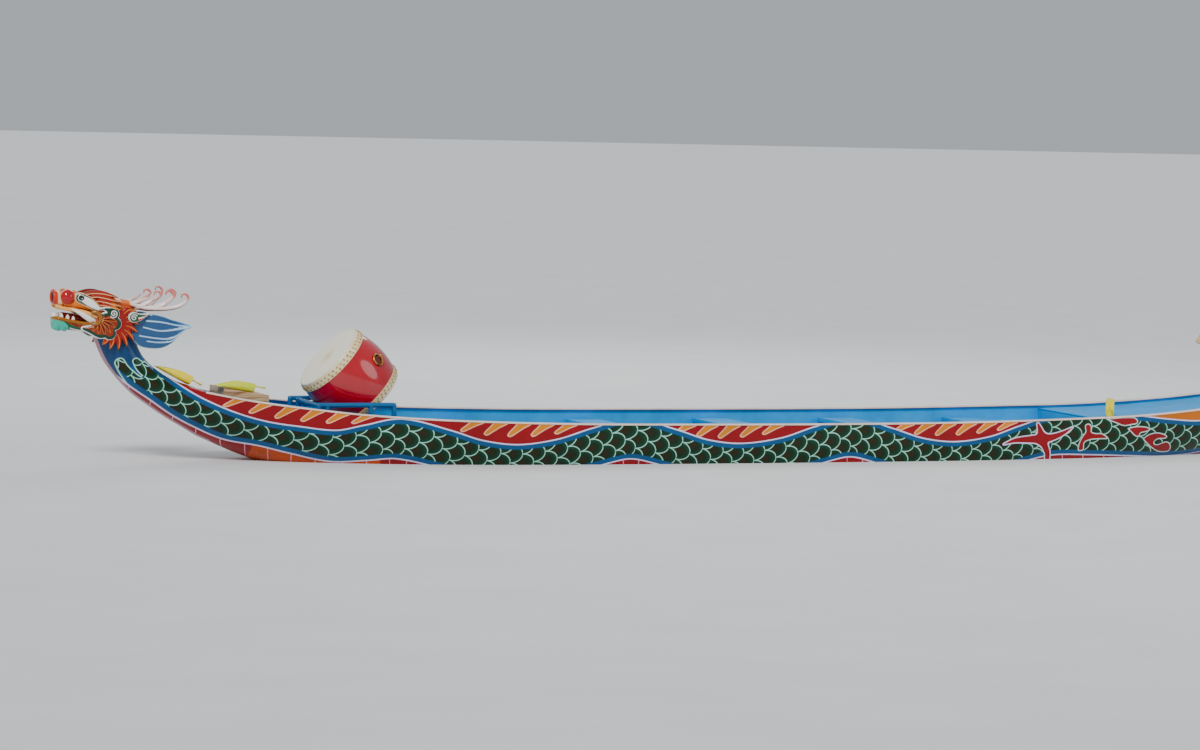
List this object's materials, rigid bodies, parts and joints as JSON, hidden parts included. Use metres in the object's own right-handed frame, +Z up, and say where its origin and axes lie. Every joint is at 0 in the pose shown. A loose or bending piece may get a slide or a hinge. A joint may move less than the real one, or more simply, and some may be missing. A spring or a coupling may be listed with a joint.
{
  "type": "dragon boat",
  "caption": "Painted racing dragon boat with carved dragon head and tail, benches for paddlers, a drum on a stand and a pivoting steering oar.",
  "frame": {"origin": "on the centreline amidships at the waterline", "axes": "+X towards the stern, +Y to starboard, +Z up"},
  "size_m": [8.9318, 1.1722, 1.3468],
  "materials": {
    "hull_paint": "painted glass-fibre laminate, gloss",
    "neck_paint": "painted glass-fibre laminate, gloss",
    "rail_paint": "painted gunwale cap, cream, satin gloss",
    "deck_paint": "sky-blue gelcoat",
    "wood": "varnished softwood",
    "drum_lacquer": "red lacquer on wood",
    "drum_hide": "stretched cow hide",
    "fitting_steel": "stainless steel",
    "stand_paint": "blue painted steel tube",
    "head_paint": "painted carved head, gloss",
    "jaw_paint": "painted carved jaw, gloss",
    "red_paint": "painted red, gloss",
    "ivory_paint": "painted ivory white",
    "horn_paint": "painted pale pink, gloss",
    "fin_paint": "painted slate blue, gloss",
    "yellow_plastic": "moulded yellow plastic"
  },
  "bodies": {
    "boat": {"hull_shell": "hull_paint", "gunwale_port": "rail_paint", "gunwale_starboard": "rail_paint", "foredeck": "deck_paint", "afterdeck": "deck_paint", "fore_bulkhead": "deck_paint", "aft_bulkhead": "deck_paint", "floorboards": "wood", "drum_platform": "deck_paint", "bench_1": "deck_paint", "bench_2": "deck_paint", "bench_3": "deck_paint", "bench_4": "deck_paint", "bench_5": "deck_paint", "drummer_seat": "wood", "drum_barrel": "drum_lacquer", "drum_skin_upper": "drum_hide", "drum_skin_lower": "drum_hide", "drum_ring_port": "fitting_steel", "drum_ring_starboard": "fitting_steel", "drum_stand": "stand_paint", "neck": "neck_paint", "head_upper": "head_paint", "head_jaw": "jaw_paint", "nose_bulbs": "red_paint", "eye_port": "ivory_paint", "eye_starboard": "ivory_paint", "brow_port": "head_paint", "brow_starboard": "head_paint", "tongue": "red_paint", "lower_teeth_port": "ivory_paint", "lower_teeth_starboard": "ivory_paint", "tusk_port": "ivory_paint", "tusk_starboard": "ivory_paint", "gill_fin_port": "fin_paint", "gill_fin_starboard": "fin_paint", "cheek_mane_port": "head_paint", "cheek_mane_starboard": "head_paint", "ear_port": "jaw_paint", "ear_starboard": "jaw_paint", "horn_port": "horn_paint", "horn_starboard": "horn_paint", "tail_stem": "hull_paint", "tail_flame": "head_paint", "steering_arm": "fitting_steel", "bailer_neck": "yellow_plastic", "bailer_deck": "yellow_plastic", "bailer_stern": "yellow_plastic"},
    "yoke": {"steering_yoke": "fitting_steel"},
    "collar": {"steering_collar": "fitting_steel"},
    "oar": {"steering_oar": "wood"}
  },
  "joints": [
    {"name": "steering_swing", "type": "hinge", "parent": "boat", "child": "yoke", "pos_m": [3.45, -0.42, 0.46784], "axis": [0, 0, 1], "range_deg": [-40, 10]},
    {"name": "steering_lift", "type": "hinge", "parent": "yoke", "child": "collar", "pos_m": [3.45, -0.42, 0.46784], "axis": [0, -1, 0], "range_deg": [-8, 28]},
    {"name": "steering_twist", "type": "hinge", "parent": "collar", "child": "oar", "pos_m": [3.45, -0.42, 0.46784], "axis": [0.866, 0, -0.5], "range_deg": [-35, 35]}
  ]
}
